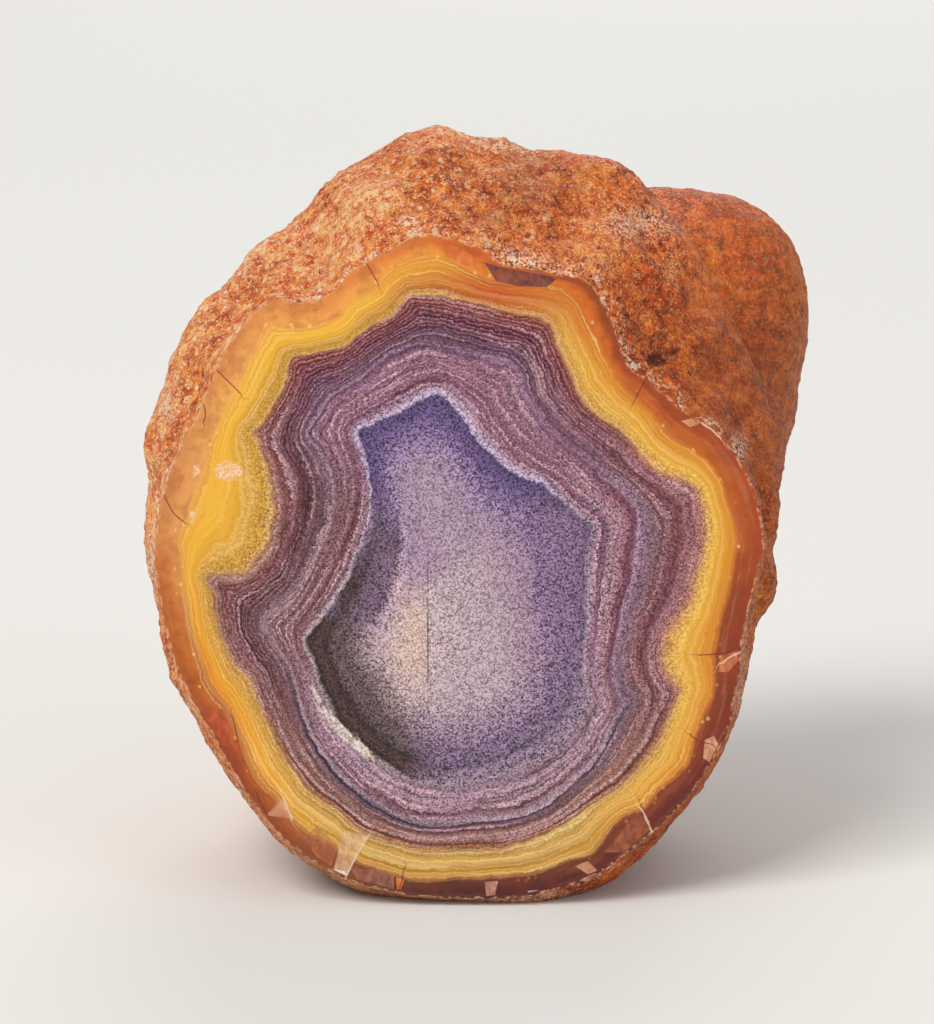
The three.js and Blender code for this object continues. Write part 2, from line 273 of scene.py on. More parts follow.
# %% Chips and lines, in picture points
CHIPS = {
    "red flake": ([(208, 718), (224, 706), (232, 738), (240, 742), (222, 750)], (176, 68, 36), 0.7),
    "pink triangle": ([(264, 817), (283, 797), (292, 819)], (206, 148, 116), 0.65),
    "cream wedge": ([(344, 831), (368, 835), (358, 853), (347, 876), (334, 868), (339, 848)], (212, 170, 128), 0.7),
    "crystal foot": ([(331, 868), (344, 871), (344, 882), (334, 880)], (236, 220, 204), 0.9),
    "amber block": ([(302, 838), (318, 826), (338, 846), (331, 866), (318, 858)], (176, 98, 58), 0.6),
    "pink block": ([(350, 868), (374, 870), (394, 876), (392, 891), (356, 886)], (152, 92, 74), 0.8),
    "orange edge": ([(396, 877), (404, 880), (401, 894), (395, 892)], (222, 120, 52), 0.8),
    "pink wedge": ([(485, 882), (498, 881), (495, 895), (488, 896)], (204, 150, 122), 0.75),
    "small crescent": ([(528, 891), (538, 890), (536, 895), (530, 896)], (226, 200, 176), 0.8),
    "rose wedge": ([(575, 866), (588, 861), (601, 876), (590, 883)], (206, 144, 108), 0.8),
    "brown block": ([(604, 852), (638, 812), (652, 828), (622, 854)], (160, 88, 54), 0.7),
    "pale shard": ([(703, 758), (705, 740), (714, 736), (718, 746), (710, 764)], (218, 158, 118), 0.75),
    "red chip": ([(718, 672), (720, 658), (742, 650), (738, 664), (728, 672)], (206, 116, 76), 0.8),
    "clear crystal": ([(376, 252), (388, 244), (392, 252), (380, 257)], (226, 178, 140), 0.8),
    "dark strip": ([(484, 262), (500, 266), (522, 270), (550, 272), (557, 279), (547, 287), (518, 286), (496, 281)],
                   (112, 54, 54), 1.0),
    "brick strip": ([(432, 240), (452, 246), (470, 254), (482, 266), (472, 268), (454, 260)], (214, 104, 52), 0.7),
    "feather": ([(681, 421), (692, 419), (699, 424), (690, 427)], (226, 160, 112), 0.8),
}
CRACKS = [
    [(366, 262), (371, 271), (378, 283)],
    [(217, 370), (228, 381), (240, 393)],
    [(647, 377), (641, 388), (634, 402)],
    [(640, 805), (648, 820), (658, 836)],
    [(166, 500), (174, 514), (184, 522)],
    [(232, 716), (236, 730), (238, 742)],
    [(404, 868), (402, 880), (398, 893)],
    [(690, 735), (700, 742), (712, 744)],
    [(203, 404), (206, 412), (204, 422)],
    [(256, 792), (262, 806), (268, 816)],
    [(700, 655), (718, 654), (740, 650)],
]
GLINTS = [
    [(360, 742), (366, 750), (374, 761)],
    [(368, 836), (358, 853), (346, 876)],
    [(283, 797), (288, 808), (292, 819)],
    [(640, 807), (646, 817), (653, 835)],
    [(703, 424), (712, 430), (719, 437)],
    [(722, 664), (728, 658), (738, 653)],
]
print(len(CHIPS), "chips,", len(CRACKS), "cracks,", len(GLINTS), "glints")

# %% [markdown]
# ## Measuring from a line
# Two small measures do all the placing: how far a point is from a line, and whether it lies inside a
# loop. They work on thousands of points at once. The distance also says on which side of the line a
# point is, because a mesh can blend such a number across a facet and still keep the line thin.

# %% Distance and inside tests
FAR_AWAY = 1e9
TINY = 1e-12


def distance_to(points, line, closed):
    """How far each point is from the line, and on which side of it."""
    ends = np.roll(line, -1, axis=0) if closed else line[1:]
    starts = line if closed else line[:-1]
    nearest = np.full(len(points), FAR_AWAY)
    side = np.ones(len(points))
    for start, end in zip(starts, ends):
        along = end - start
        share = np.clip(((points - start) @ along) / max(along @ along, TINY), 0, 1)
        gap = points - (start + share[:, None] * along)
        far = np.hypot(gap[:, 0], gap[:, 1])
        closer = far < nearest
        nearest = np.where(closer, far, nearest)
        side = np.where(closer, np.sign(along[0] * gap[:, 1] - along[1] * gap[:, 0] + TINY), side)
    return nearest, side


def is_inside(points, loop):
    """Which points lie inside the closed loop."""
    inside = np.zeros(len(points), dtype=bool)
    for start, end in zip(loop, np.roll(loop, -1, axis=0)):
        spans = (start[1] > points[:, 1]) != (end[1] > points[:, 1])
        rise = end[1] - start[1]
        crossing = start[0] + (points[:, 1] - start[1]) * (end[0] - start[0]) / (rise if rise else TINY)
        inside ^= spans & (points[:, 0] < crossing)
    return inside


rim_loop = np.array([face_coordinates(v.co)[:2] for v in rim])
MARGIN_MM = 0.3


def pull_inside(points):
    """Moves points that touch or pass the rim to just inside it."""
    far, _ = distance_to(points, rim_loop, True)
    for i in np.nonzero(~is_inside(points, rim_loop) | (far < MARGIN_MM))[0]:
        gaps = np.linalg.norm(rim_loop - points[i], axis=1)
        nearest = rim_loop[int(np.argmin(gaps))]
        points[i] = nearest + (-nearest / np.linalg.norm(nearest)) * MARGIN_MM
    return points


contour_loops = [pull_inside(loop) for loop in contour_loops]
chip_loops = {name: pull_inside(np.array([on_face(*p) for p in drawn])) for name, (drawn, *_) in CHIPS.items()}
print("contours and chips inside the rim:", len(contour_loops) + len(chip_loops))

# %% [markdown]
# ## The polished face
# The cut is filled with a flat sheet of small triangles, half a millimetre each, whose edges follow the
# rim, the five contours and the chips. Delaunay triangulation does this: it is given the points and
# the edges it must keep. Such a fine sheet lets each point carry its own measures for the material.

# %% Fill the cut
FILL_STEP = 0.5
CLEARANCE = 0.24

fixed_points = [tuple(p) for p in rim_loop]
fixed_edges = [(i, (i + 1) % len(rim_loop)) for i in range(len(rim_loop))]
for loop in contour_loops + list(chip_loops.values()):
    first = len(fixed_points)
    fixed_points += [tuple(p) for p in loop]
    fixed_edges += [(first + i, first + (i + 1) % len(loop)) for i in range(len(loop))]

low, high = rim_loop.min(axis=0), rim_loop.max(axis=0)
grid = []
row_height = FILL_STEP * math.sqrt(3) / 2
for row in range(int((high[1] - low[1]) / row_height) + 1):
    shift = FILL_STEP / 2 if row % 2 else 0.0
    for column in range(int((high[0] - low[0]) / FILL_STEP) + 1):
        grid.append((low[0] + shift + column * FILL_STEP, low[1] + row * row_height))
grid = np.array(grid)
grid = grid[is_inside(grid, rim_loop)]
clear = np.ones(len(grid), dtype=bool)
for loop in [rim_loop] + contour_loops + list(chip_loops.values()):
    clear &= distance_to(grid, loop, True)[0] > CLEARANCE
grid = grid[clear]

INSIDE_ONLY = 1
filled = geometry.delaunay_2d_cdt(
    [Vector(p) for p in fixed_points + [tuple(g) for g in grid]], fixed_edges, [], INSIDE_ONLY, SAME_PLACE)
sheet_points, sheet_faces, came_from = filled[0], filled[2], filled[3]
print("sheet points:", len(sheet_points), "triangles:", len(sheet_faces))

# %% Join the sheet to the skin
sheet_verts = []
for point, origins in zip(sheet_points, came_from):
    on_rim = [i for i in origins if i < len(rim)]
    sheet_verts.append(rim[on_rim[0]] if on_rim else skin.verts.new(in_space(point.x, point.y)))
for edge in rim_edges:
    edge.smooth = False
for face in skin.faces:
    face.smooth = True
    face.material_index = 0
for corners in sheet_faces:
    face = skin.faces.new([sheet_verts[i] for i in corners])
    face.material_index = 1
    face.smooth = False
    face.normal_update()
    if face.normal.dot(FACE_OUT) < 0:
        face.normal_flip()
skin.verts.index_update()
skin.faces.index_update()
for face in skin.faces:
    if face.material_index == 0 and all(v.co.z < ON_THE_CUT for v in face.verts):
        face.smooth = False

stone_mesh = bpy.data.meshes.new("agate_stone")
skin.to_mesh(stone_mesh)
skin.free()
agate_stone = bpy.data.objects.new("agate_stone", stone_mesh)
bpy.context.scene.collection.objects.link(agate_stone)
print("stone faces:", len(stone_mesh.polygons))

# %% [markdown]
# ## Measures for every point
# Each point of the mesh now gets numbers that the materials will read. On the face the main one is the
# band: 0 at the rim, 1 where yellow starts, and so on to the core, with fractions between contours. The
# rind gets its weathering and painted light: dirt in the valley and painted shade on the right, golden
# streaks and frosty quartz that also serve as painted highlights, and dark pits that are painted shade.

# %% Band number of every point
HEART_DEPTH_MM = 9.0
CUT_TOLERANCE_MM = 0.001
FACE_MATERIAL = 1

count = len(stone_mesh.vertices)
coordinates = np.empty(count * 3)
stone_mesh.vertices.foreach_get("co", coordinates)
coordinates = coordinates.reshape(-1, 3)
away = (coordinates - np.array(FACE_MIDDLE)) / MM
right_mm, up_mm, deep_mm = (away @ np.array(axis) for axis in (FACE_RIGHT, FACE_UP, -FACE_OUT))
on_cut = np.abs(deep_mm) < CUT_TOLERANCE_MM
flat_places = np.stack([right_mm, up_mm], axis=1)[on_cut]

loops = [rim_loop] + contour_loops
gaps = [distance_to(flat_places, loop, True)[0] for loop in loops]
level = np.zeros(len(flat_places), dtype=int)
for number, loop in enumerate(contour_loops, start=1):
    level = np.where(is_inside(flat_places, loop) & (level == number - 1), number, level)
all_gaps = np.stack(gaps + [np.full(len(flat_places), HEART_DEPTH_MM)])
rows = np.arange(len(flat_places))
outer_gap = all_gaps[level, rows]
inner_gap = all_gaps[level + 1, rows]
inner_gap = np.where(level == len(contour_loops), np.maximum(HEART_DEPTH_MM - outer_gap, 0.0), inner_gap)
band_here = level + outer_gap / np.maximum(outer_gap + inner_gap, 1e-9)

band = np.zeros(count)
band[on_cut] = band_here
print("band number from", round(float(band_here.min()), 2), "to", round(float(band_here.max()), 2))

# %% Soft patches drawn by their place in the photograph
PHOTO_DEPTH_MM, PHOTO_FADE_MM = 22.0, 16.0

shrink = VIEW_DISTANCE_MM / (VIEW_DISTANCE_MM + deep_mm)
across = PICTURE_MIDDLE[0] + POINTS_PER_MM * right_mm * shrink
down = PICTURE_MIDDLE[1] - POINTS_PER_MM * up_mm * shrink


def patches(*drawn):
    """Soft ovals: each is across, down, half width, half height, strength and an optional turn in degrees."""
    total = np.zeros(count)
    for x, y, wide, high, strength, *turn in drawn:
        angle = math.radians(turn[0]) if turn else 0.0
        along = ((across - x) * math.cos(angle) + (down - y) * math.sin(angle)) / wide
        over = (-(across - x) * math.sin(angle) + (down - y) * math.cos(angle)) / high
        total = np.maximum(total, strength * np.exp(-(along ** 2 + over ** 2)))
    return total


core_patches = np.stack([
    patches((414, 640, 22, 52, 1.0), (400, 600, 14, 40, 0.4)),
    patches((520, 645, 20, 45, 0.8), (500, 600, 25, 40, 0.4)),
    np.minimum(1.0, 3.0 * patches((345, 690, 46, 64, 1.0, -28), (386, 748, 42, 25, 0.5, 38),
                                  (318, 650, 26, 34, 0.9, -20),
                                  (350, 590, 16, 44, 0.32, 25))),
    patches((462, 590, 40, 80, 0.8), (450, 640, 24, 28, 1.0), (480, 540, 60, 34, 0.6)),
], axis=1)
side_patches = np.stack([
    patches((490, 298, 92, 32, 1.0, 8), (584, 322, 22, 30, 0.45)),
    patches((215, 700, 45, 130, 1.0, -20), (250, 790, 60, 60, 0.8)),
    patches((339, 728, 40, 6, 1.0, 48), (362, 749, 16, 6, 1.0, 52), (316, 694, 20, 3.5, 0.8, 66),
            (228, 471, 17, 12, 1.0), (197, 472, 6, 12, 0.75), (193, 514, 5, 16, 0.75)),
    patches((560, 440, 60, 40, 1.0, 40), (480, 385, 60, 22, 0.8, 20)),
], axis=1)
visible = np.clip((PHOTO_DEPTH_MM - deep_mm) / PHOTO_FADE_MM, 0.0, 1.0)
weather_and_light = np.stack([
    # Dirt in the top valley, and painted shade over the dark hollow on the shaded right.
    patches((537, 165, 34, 22, 0.9), (520, 195, 30, 24, 0.8), (560, 178, 30, 18, 0.6), (500, 215, 30, 18, 0.4),
            (430, 160, 30, 16, 0.25), (655, 345, 36, 44, 0.8), (700, 350, 30, 34, 0.6)) * visible,
    # Golden streaks, which on the upper right also serve as painted highlight lines.
    patches((672, 268, 6, 20, 0.6), (690, 212, 30, 12, 0.3), (600, 260, 30, 14, 0.4)) * visible,
    # Frosty quartz at the edges, which on the upper right also serves as painted highlight lines.
    patches((407, 222, 12, 6, 1.0), (645, 222, 40, 16, 0.9), (525, 262, 42, 9, 1.0, 12), (738, 450, 9, 14, 1.0),
            (152, 565, 10, 28, 0.9), (166, 405, 8, 20, 0.8), (510, 144, 40, 9, 0.9), (745, 230, 20, 10, 0.7),
            (782, 250, 10, 16, 0.6), (780, 300, 12, 16, 0.5), (740, 700, 12, 60, 0.5), (450, 900, 200, 9, 0.6),
            (320, 895, 60, 14, 0.6), (250, 260, 30, 20, 0.35), (540, 300, 90, 26, 0.3, 30)) * visible,
    # Pits painted dark: painted shade in the crust's hollows.
    patches((655, 360, 13, 9, 1.0), (672, 352, 7, 6, 0.9), (628, 315, 7, 5, 0.8), (690, 372, 7, 6, 0.6),
            (299, 301, 3.2, 3.2, 1.0), (320, 271, 3, 3, 1.0), (520, 170, 3.5, 3.5, 1.0), (180, 471, 3, 3, 1.0),
            (520, 226, 3, 3, 1.0), (648, 226, 3, 3, 1.0), (200, 330, 12, 16, 0.3), (325, 235, 14, 12, 0.3)) * visible,
], axis=1)


def keep_measure(name, values, where="POINT"):
    """Stores one, three or four numbers on every point or corner of the stone."""
    kind, field = {1: ("FLOAT", "value"), 3: ("FLOAT_VECTOR", "vector"), 4: ("FLOAT_COLOR", "color")}[values.shape[1]]
    layer = stone_mesh.attributes.new(name, kind, where)
    layer.data.foreach_set(field, values.astype(np.float32).ravel())


keep_measure("band", band[:, None])
keep_measure("face_place", np.stack([right_mm, up_mm, deep_mm], axis=1))
keep_measure("core_patches", core_patches)
keep_measure("side_patches", side_patches)
keep_measure("weather_and_light", weather_and_light)
print("patches stored on", count, "points")

# %% Thin lines as signed distances
NEAR_MM = 1.4


def line_marks(lines):
    """For each point: signed distance to the nearest line, and 1 where that line is near."""
    marks = np.zeros((count, 3))
    best = np.full(len(flat_places), FAR_AWAY)
    signed = np.full(len(flat_places), 9.0)
    for drawn in lines:
        far, side = distance_to(flat_places, np.array([on_face(*p) for p in drawn]), False)
        signed = np.where(far < best, far * side, signed)
        best = np.minimum(best, far)
    marks[on_cut, 0] = signed
    marks[on_cut, 1] = np.clip(1.5 - best / NEAR_MM, 0, 1)
    return marks


keep_measure("crack_marks", line_marks(CRACKS))
keep_measure("glint_marks", line_marks(GLINTS))

# %% Chip colours on the facets' corners
def tint(red, green, blue):
    """A screen colour, 0 to 255, as the linear colour that Blender mixes."""
    shares = (red / 255, green / 255, blue / 255)
    return (*[c / 12.92 if c <= 0.04045 else ((c + 0.055) / 1.055) ** 2.4 for c in shares], 1.0)


polygon_count = len(stone_mesh.polygons)
slots_here = np.empty(polygon_count, dtype=np.int32)
stone_mesh.polygons.foreach_get("material_index", slots_here)
centres = np.empty(polygon_count * 3)
stone_mesh.polygons.foreach_get("center", centres)
centres = (centres.reshape(-1, 3) - np.array(FACE_MIDDLE)) / MM
centre_places = np.stack([centres @ np.array(FACE_RIGHT), centres @ np.array(FACE_UP)], axis=1)
chip_colour = np.zeros((polygon_count, 4))
for name, loop in chip_loops.items():
    inside = is_inside(centre_places, loop) & (slots_here == FACE_MATERIAL)
    _, colour, solidity = CHIPS[name]
    chip_colour[inside] = (*tint(*colour)[:3], solidity)
keep_measure("chip", np.repeat(chip_colour, 3, axis=0), "CORNER")
print("chip facets:", int((chip_colour[:, 3] > 0).sum()))

# %% [markdown]
# ## A flat map of the skin
# The skin gets a flat map on a square picture, for baking its colours. An automatic map would cut this
# bumpy skin into thousands of scraps, so the map is laid out here in four clean pieces: the polished
# face, the wall round the stone, the back, and the flat it rests on. The stone swells out from one
# middle point, so directions from that point give a map that never folds over itself.

# %% Lay out the bake map
MAP_MIDDLE = (-1.2, -3.3, 17.0)
BACK_ANGLE = 50.0
BACK_OVERLAP = 2.0
WALL_ANGLES = (47.0, 140.0)
MAP_MARGIN = 0.005
FACE_SHEET = (0.01, 0.01, 0.0103)
WALL_STRIP = (0.665, 0.325, 0.97)
BACK_DISC = (0.15, 0.855, 0.135)
GROUND_SHEET = (0.48, 0.86, 0.0068)
GROUND_MIDDLE = (-1.0, -9.0)

loop_count = len(stone_mesh.loops)
loop_verts = np.empty(loop_count, dtype=np.int32)
stone_mesh.loops.foreach_get("vertex_index", loop_verts)
from_middle = np.stack([right_mm, up_mm, deep_mm], axis=1) - np.array(MAP_MIDDLE)
polar = np.degrees(np.arccos(from_middle[:, 2] / np.linalg.norm(from_middle, axis=1)))[loop_verts].reshape(-1, 3)
around = (np.arctan2(from_middle[:, 1], from_middle[:, 0]) / (2 * math.pi) + 0.5)[loop_verts].reshape(-1, 3)
crosses_seam = (around.max(axis=1) - around.min(axis=1)) > 0.5
wall_around = np.where(crosses_seam[:, None] & (around < 0.5), around + 1, around)
mapped = np.zeros((polygon_count, 3, 2))

wall_share = (polar - WALL_ANGLES[0]) / (WALL_ANGLES[1] - WALL_ANGLES[0])
mapped[..., 0] = WALL_STRIP[0] + WALL_STRIP[1] * wall_share
mapped[..., 1] = MAP_MARGIN + WALL_STRIP[2] * wall_around
is_back = polar.mean(axis=1) < BACK_ANGLE
disc = BACK_DISC[2] * polar[is_back] / (BACK_ANGLE + BACK_OVERLAP)
mapped[is_back, :, 0] = BACK_DISC[0] + disc * np.cos(2 * math.pi * around[is_back])
mapped[is_back, :, 1] = BACK_DISC[1] + disc * np.sin(2 * math.pi * around[is_back])
is_face = slots_here == FACE_MATERIAL
face_corner = np.stack([right_mm, up_mm], axis=1)[loop_verts].reshape(-1, 3, 2)
mapped[is_face] = np.array(FACE_SHEET[:2]) + FACE_SHEET[2] * (face_corner[is_face] - rim_loop.min(axis=0))
heights = coordinates[loop_verts, 2].reshape(-1, 3)
is_ground = (heights.max(axis=1) < ON_THE_CUT) & ~is_face
ground_corner = coordinates[loop_verts, :2].reshape(-1, 3, 2) / MM
ground_corner = ground_corner[is_ground] - np.array(GROUND_MIDDLE)
mapped[is_ground] = np.array(GROUND_SHEET[:2]) + GROUND_SHEET[2] * ground_corner

bake_map = stone_mesh.uv_layers.new(name="OFBake")
bake_map.data.foreach_set("uv", mapped.astype(np.float32).ravel())
print("map from", mapped.min(axis=(0, 1)).round(3), "to", mapped.max(axis=(0, 1)).round(3))

# %% Colours as seen under the lamps
LAMP_LEVEL = 1.04
LAMP_VEIL = 0.024
DARKEST_PAINT = 0.004


def seen(red, green, blue):
    """The paint that looks like this screen colour under the studio lamps."""
    return (*[max(DARKEST_PAINT, (c - LAMP_VEIL) / LAMP_LEVEL) for c in tint(red, green, blue)[:3]], 1.0)


def grey(level):
    """A plain grey. Half leaves a colour as it is when it is laid over it."""
    return (level, level, level, 1.0)


print("paint for a seen orange:", [round(c, 3) for c in seen(203, 117, 70)])


# %% [markdown]
# ## A workbench for materials
# A procedural material is a tree of small nodes. Writing each by hand is long, so a workbench adds one
# node at a time and joins whatever it is given: a number is typed in, a socket is wired up. The names
# say what each step does to the colour or mask that passes through, and what comes out of a node can be
# added and multiplied like a number.

# %% The workbench
class Value:
    """A socket that can be added, subtracted and multiplied like a number."""

    def __init__(self, bench, socket):
        self.bench = bench
        self.socket = socket

    def __add__(self, other):
        return self.bench.sum("ADD", self, other)

    def __sub__(self, other):
        return self.bench.sum("SUBTRACT", self, other)

    def __mul__(self, other):
        return self.bench.sum("MULTIPLY", self, other)

    __radd__, __rmul__ = __add__, __mul__


class Bench:
    """Adds nodes to one tree. Inputs may be numbers, colours, sockets or values."""

    def __init__(self, tree):
        self.tree = tree

    def feed(self, socket, value):
        value = getattr(value, "socket", value)
        if isinstance(value, bpy.types.NodeSocket):
            self.tree.links.new(value, socket)
        else:
            socket.default_value = value

    def add(self, kind, inputs=None, **settings):
        node = self.tree.nodes.new(kind)
        for name, value in settings.items():
            setattr(node, name, value)
        for key, value in (inputs or {}).items():
            self.feed(node.inputs[key], value)
        return node

    def out(self, node, *keys):
        """One output of a node as a value, or several as a list."""
        values = [Value(self, node.outputs[key]) for key in keys or (0,)]
        return values if len(values) > 1 else values[0]

    def sum(self, operation, first, second=0.0, clamp=False):
        return self.out(self.add("ShaderNodeMath", {0: first, 1: second}, operation=operation, use_clamp=clamp))

    def inverse(self, value):
        return self.sum("SUBTRACT", 1.0, value, clamp=True)

    def rise(self, value, low, high):
        """0 below low, 1 above high, and smooth between."""
        inputs = {"Value": value, "From Min": low, "From Max": high}
        return self.out(self.add("ShaderNodeMapRange", inputs, interpolation_type="SMOOTHSTEP"))

    def within(self, value, low, high, soft):
        """1 between low and high, with soft edges."""
        return self.rise(value, low - soft, low + soft) * self.inverse(self.rise(value, high - soft, high + soft))

    def mix(self, amount, first, second, how="MIX"):
        inputs = {0: amount, 6: first, 7: second}
        return self.out(self.add("ShaderNodeMix", inputs, data_type="RGBA", blend_type=how), 2)

    def ramp(self, value, stops, shade=None):
        """Colours along a value. Each stop is a place and then a screen colour, or a grey."""
        node = self.add("ShaderNodeValToRGB", {0: value})
        elements = node.color_ramp.elements
        while len(elements) < len(stops):
            elements.new(0.5)
        for element, (place, *_) in zip(elements, stops):
            element.position = place
        for element, (_, *colour) in zip(elements, stops):
            element.color = (shade or seen)(*colour)
        return self.out(node)

    def scaled(self, vector, factors):
        return self.out(self.add("ShaderNodeVectorMath", {0: vector, 1: factors}, operation="MULTIPLY"))

    def noise(self, vector, scale, detail=2.0, rough=0.5):
        inputs = {"Vector": vector, "Scale": scale, "Detail": detail, "Roughness": rough}
        return self.out(self.add("ShaderNodeTexNoise", inputs))

    def cells(self, vector, scale):
        """Scattered cells: the distance from the nearest middle, and a random number for each cell."""
        node = self.add("ShaderNodeTexVoronoi", {"Vector": vector, "Scale": scale})
        return self.out(node, "Distance"), self.parts(node.outputs["Color"])[0]

    def measure(self, name, output="Fac"):
        return self.out(self.add("ShaderNodeAttribute", attribute_name=name), output)

    def measures(self, name):
        """The four numbers stored on the points under one name."""
        node = self.add("ShaderNodeAttribute", attribute_name=name)
        return *self.parts(node.outputs["Color"]), self.out(node, "Alpha")

    def split(self, vector):
        return self.out(self.add("ShaderNodeSeparateXYZ", {0: vector}), 0, 1, 2)

    def bump(self, strength, height_m, height):
        return self.out(self.add("ShaderNodeBump", {"Strength": strength, "Distance": height_m, "Height": height}))

    def parts(self, colour):
        return self.out(self.add("ShaderNodeSeparateColor", {0: colour}), 0, 1, 2)


print("workbench ready")

# %% [markdown]
# ## Sugar grain, shared by rind and face
# Quartz grows as tiny grains. On the rind they stand out as sugar, and under the polish of the core they
# show as salt and pepper. It is the same effect at two sizes, so it is one node group with the grains to
# a millimetre as an input. It gives each grain its own tone, and the dark gaps between grains.

# %% The sugar grain group
def build_sugar_grain():
    """The node group, with named sockets for what goes in and what comes out."""
    group = bpy.data.node_groups.new("sugar_grain", "ShaderNodeTree")
    group.interface.new_socket(name="Place", in_out="INPUT", socket_type="NodeSocketVector")
    group.interface.new_socket(name="Grains per mm", in_out="INPUT", socket_type="NodeSocketFloat")
    for label in ("Tone", "Gap", "Clump"):
        group.interface.new_socket(name=label, in_out="OUTPUT", socket_type="NodeSocketFloat")
    bench = Bench(group)
    place, per_mm = bench.out(bench.add("NodeGroupInput"), "Place", "Grains per mm")
    wander = bench.add("ShaderNodeTexNoise", {"Vector": place, "Scale": per_mm, "Detail": 1.0}).outputs[1]
    nudge = bench.sum("DIVIDE", 0.9, per_mm)
    bent = bench.out(bench.add("ShaderNodeVectorMath", {0: wander, 1: nudge, 2: place}, operation="MULTIPLY_ADD"))
    gap, coarse = bench.cells(bent, per_mm)
    fine_cell = bench.add("ShaderNodeTexVoronoi", {"Vector": bent, "Scale": per_mm * 2.1})
    fine = bench.parts(fine_cell.outputs["Color"])[1]
    clump = bench.noise(place, per_mm * 0.3, 3.0, 0.6)
    bench.add("NodeGroupOutput", {"Tone": coarse * 0.6 + fine * 0.4, "Gap": gap, "Clump": clump})
    return group


sugar_grain = build_sugar_grain()


def sprinkle(bench, place, per_mm):
    """Places the sugar grain in a material: tone, gap and clump."""
    node = bench.add("ShaderNodeGroup", node_tree=sugar_grain)
    bench.feed(node.inputs["Place"], place)
    bench.feed(node.inputs["Grains per mm"], per_mm)
    return bench.out(node, "Tone", "Gap", "Clump")


print("group sockets:", [item.name for item in sugar_grain.interface.items_tree])

# %% [markdown]
# ## Rind: iron-stained sugar
# Iron oxide stains the crust orange to red-brown. The stain is uneven, so broad noise drifts between
# browns. The left is paler and the right deeper, partly stain and partly painted light and painted shade,
# and the lower right is darkened again as painted shade. Single grains get painted glints in peach or
# white, and the gaps between them stay dark. The measures stored on the points add the dirty valley,
# painted shade on the right, golden streaks and frost that are partly painted highlights, and pits painted
# dark as painted shade. Colours are written as they look under the lamps, and a small sum turns them into paint.

# %% Rind material
def new_material(name):
    material = bpy.data.materials.new(name)
    material.use_nodes = True
    material.node_tree.nodes.clear()
    bench = Bench(material.node_tree)
    output = bench.add("ShaderNodeOutputMaterial")
    shader = bench.add("ShaderNodeBsdfPrincipled")
    bench.feed(output.inputs["Surface"], shader.outputs[0])
    return material, bench, shader


RIND_GRAINS_PER_MM = 4.4
LUMPS_PER_MM = 1.5
CRUMB_HEIGHT = 0.0003
QUARTZ_IOR = 1.54
# The paler ramp stands for the lit left and the deeper ramp for the shaded right: stain colour with painted light and
# painted shade in it.
RIND_PALE_LIT = [(0.3, 180, 80, 36), (0.42, 214, 114, 58), (0.52, 236, 146, 86), (0.62, 248, 178, 126),
             (0.75, 214, 114, 54)]
RIND_DEEP_SHADED = [(0.3, 154, 60, 16), (0.42, 186, 82, 22), (0.52, 212, 102, 30), (0.62, 226, 122, 42),
             (0.75, 190, 84, 20)]


